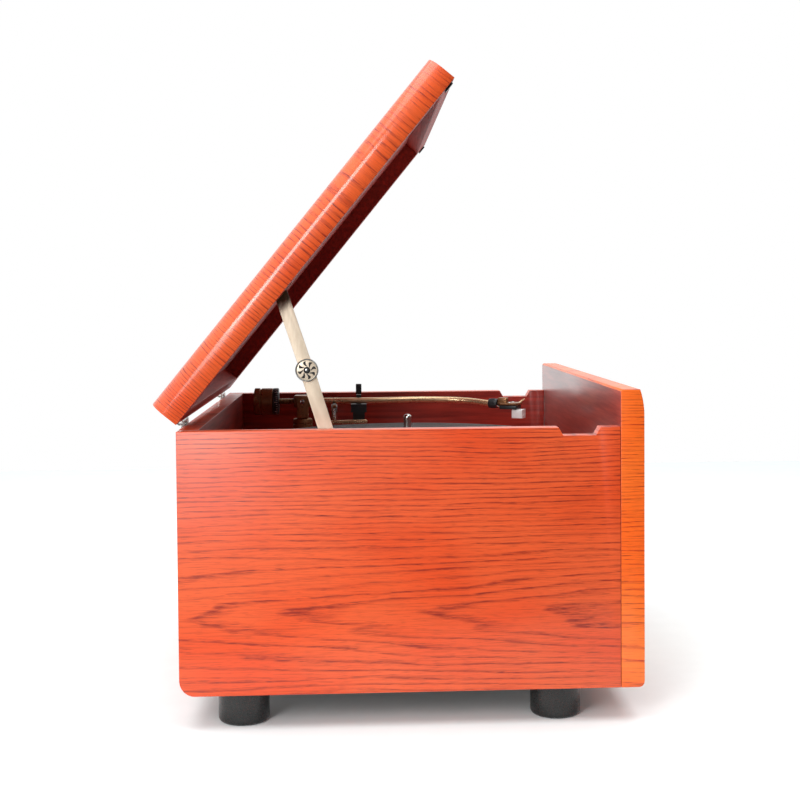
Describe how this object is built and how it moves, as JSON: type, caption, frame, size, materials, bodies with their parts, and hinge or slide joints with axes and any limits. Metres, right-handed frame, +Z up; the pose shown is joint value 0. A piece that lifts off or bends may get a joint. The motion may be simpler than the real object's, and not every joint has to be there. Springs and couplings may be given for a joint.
{
  "type": "record player",
  "caption": "Wooden tabletop record player: veneered case, hinged lid on a folding stay, belt-driven platter, S-shaped tonearm, tuner dial and loudspeakers.",
  "frame": {"origin": "bottom centre of the object's box with the lid open, on the surface the feet stand on", "axes": "+X to the right seen from the front, +Y to the rear, +Z up; the front panel faces -Y"},
  "size_m": [0.44, 0.3873, 0.5043],
  "materials": {
    "veneer": "satin lacquered oak veneer, orange red",
    "dark_wood": "satin dark red brown",
    "raw_board": "raw fibreboard",
    "rubber": "matt black",
    "grille_cloth": "woven brown",
    "black_plastic": "fine matt",
    "brass": "satin pale gold",
    "bronze": "satin antique bronze",
    "steel": "satin",
    "zinc": "matt warm grey plating",
    "dial_glass": "clear",
    "dial_paper": "printed cream",
    "white_plastic": "white",
    "circuit": "green board"
  },
  "bodies": {
    "case": {"side_panel_left": "veneer", "side_panel_right": "veneer", "rear_panel": "veneer", "bottom_panel": "raw_board", "front_panel": "veneer", "deck_plate": "dark_wood", "foot_rear_left": "rubber", "foot_rear_right": "rubber", "foot_front_left": "rubber", "foot_front_right": "rubber", "grille_frame_left": "dark_wood", "grille_frame_right": "dark_wood", "grille_cloth_left": "grille_cloth", "grille_cloth_right": "grille_cloth", "speaker_left": "black_plastic", "speaker_right": "black_plastic", "control_plate": "brass", "dial_glass": "dial_glass", "dial_scale": "dial_paper", "circuit_board": "circuit", "phono_sockets": "black_plastic", "mains_inlet": "black_plastic", "platter_bearing": "brass", "motor": "steel", "drive_belt": "rubber", "arm_base": "bronze", "arm_rest": "black_plastic", "hinge_case_leaf_left": "steel", "hinge_case_leaf_right": "steel", "stay_case_bracket": "zinc"},
    "lid": {"lid": "veneer", "lid_bumper_left": "rubber", "lid_bumper_right": "rubber", "hinge_lid_leaf_left": "steel", "hinge_lid_leaf_right": "steel", "stay_lid_bracket": "bronze"},
    "stay_lower": {"stay_lower_link": "zinc"},
    "stay_upper": {"stay_upper_link": "zinc"},
    "platter": {"platter": "steel", "platter_mat": "rubber", "spindle": "steel"},
    "pulley": {"motor_pulley": "brass"},
    "arm_yoke": {"arm_yoke": "bronze"},
    "tonearm": {"arm_block": "bronze", "arm_tube": "brass", "headshell": "bronze", "cartridge": "black_plastic", "stylus_guard": "white_plastic"},
    "counterweight": {"counterweight": "bronze", "weight_dial": "black_plastic"},
    "collar": {"headshell_collar": "black_plastic"},
    "arm_latch": {"arm_latch": "black_plastic"},
    "cue_lever": {"cue_lever": "brass"},
    "cue_lift": {"cue_lift": "bronze"},
    "anti_skate": {"anti_skate_knob": "bronze"},
    "speed_selector": {"speed_selector": "black_plastic"},
    "volume": {"volume_knob": "bronze"},
    "function": {"function_knob": "bronze"},
    "tuning": {"tuning_knob": "bronze"},
    "pointer": {"dial_pointer": "bronze"}
  },
  "joints": [
    {"name": "lid_hinge", "type": "hinge", "parent": "case", "child": "lid", "pos_m": [0, 0.17877, 0.2294], "axis": [1, 0, 0], "range_deg": [0, 50.85]},
    {"name": "stay_lower_pivot", "type": "hinge", "parent": "case", "child": "stay_lower", "pos_m": [-0.2018, 0.05407, 0.1915], "axis": [1, 0, 0], "range_deg": [0, 81.4]},
    {"name": "stay_upper_pivot", "type": "hinge", "parent": "lid", "child": "stay_upper", "pos_m": [-0.1999, 0.09975, 0.33502], "axis": [1, 0, 0], "range_deg": [-116.4, 0]},
    {"name": "platter_spin", "type": "hinge", "parent": "case", "child": "platter", "pos_m": [-0.029, -0.00423, 0.199], "axis": [0, 0, -1], "continuous": true},
    {"name": "pulley_spin", "type": "hinge", "parent": "case", "child": "pulley", "pos_m": [-0.107, -0.08223, 0.188], "axis": [0, 0, -1], "continuous": true},
    {"name": "tonearm_swing", "type": "hinge", "parent": "case", "child": "arm_yoke", "pos_m": [0.15, 0.09577, 0.2215], "axis": [0, 0, -1], "range_deg": [0, 41]},
    {"name": "tonearm_lift", "type": "hinge", "parent": "arm_yoke", "child": "tonearm", "pos_m": [0.15, 0.09577, 0.2215], "axis": [-1, 0, 0], "range_deg": [0, 3]},
    {"name": "counterweight_turn", "type": "hinge", "parent": "tonearm", "child": "counterweight", "pos_m": [0.15, 0.13577, 0.2215], "axis": [0, 1, 0], "range_deg": [0, 270]},
    {"name": "collar_turn", "type": "hinge", "parent": "tonearm", "child": "collar", "pos_m": [0.1367, -0.09323, 0.2183], "axis": [-0.4226, -0.9063, 0], "range_deg": [0, 40]},
    {"name": "arm_latch_hinge", "type": "hinge", "parent": "case", "child": "arm_latch", "pos_m": [0.1576, 0.03877, 0.2295], "axis": [0, -1, 0], "range_deg": [0, 90]},
    {"name": "cue_lever_hinge", "type": "hinge", "parent": "case", "child": "cue_lever", "pos_m": [0.1335, 0.07277, 0.2005], "axis": [-1, 0, 0], "range_deg": [0, 15]},
    {"name": "cue_lift_slide", "type": "slide", "parent": "case", "child": "cue_lift", "axis": [0, 0, 1], "range_m": [0, 0.00168]},
    {"name": "anti_skate_turn", "type": "hinge", "parent": "case", "child": "anti_skate", "pos_m": [0.172, 0.07577, 0.209], "axis": [0, 0, 1], "range_deg": [0, 270]},
    {"name": "speed_select", "type": "slide", "parent": "case", "child": "speed_selector", "axis": [0, 1, 0], "range_m": [-0.008, 0.008]},
    {"name": "volume_turn", "type": "hinge", "parent": "case", "child": "volume", "pos_m": [-0.052, -0.17723, 0.112], "axis": [0, 1, 0], "range_deg": [-150, 150]},
    {"name": "function_turn", "type": "hinge", "parent": "case", "child": "function", "pos_m": [0, -0.17723, 0.112], "axis": [0, 1, 0], "range_deg": [-60, 60]},
    {"name": "tuning_turn", "type": "hinge", "parent": "case", "child": "tuning", "pos_m": [0.052, -0.17723, 0.112], "axis": [0, 1, 0], "range_deg": [-150, 150]},
    {"name": "pointer_slide", "type": "slide", "parent": "case", "child": "pointer", "axis": [1, 0, 0], "range_m": [-0.0461, 0.0461]}
  ],
  "couplings": [
    {"joint": "stay_lower_pivot", "follows": "lid_hinge", "ratio": 1.6003},
    {"joint": "stay_upper_pivot", "follows": "lid_hinge", "ratio": -2.2888},
    {"joint": "pulley_spin", "follows": "platter_spin", "ratio": 8.1429},
    {"joint": "tonearm_lift", "follows": "cue_lever_hinge", "ratio": 0.2},
    {"joint": "cue_lift_slide", "follows": "cue_lever_hinge", "m_per_rad": 0.0064},
    {"joint": "pointer_slide", "follows": "tuning_turn", "m_per_rad": 0.01757}
  ]
}
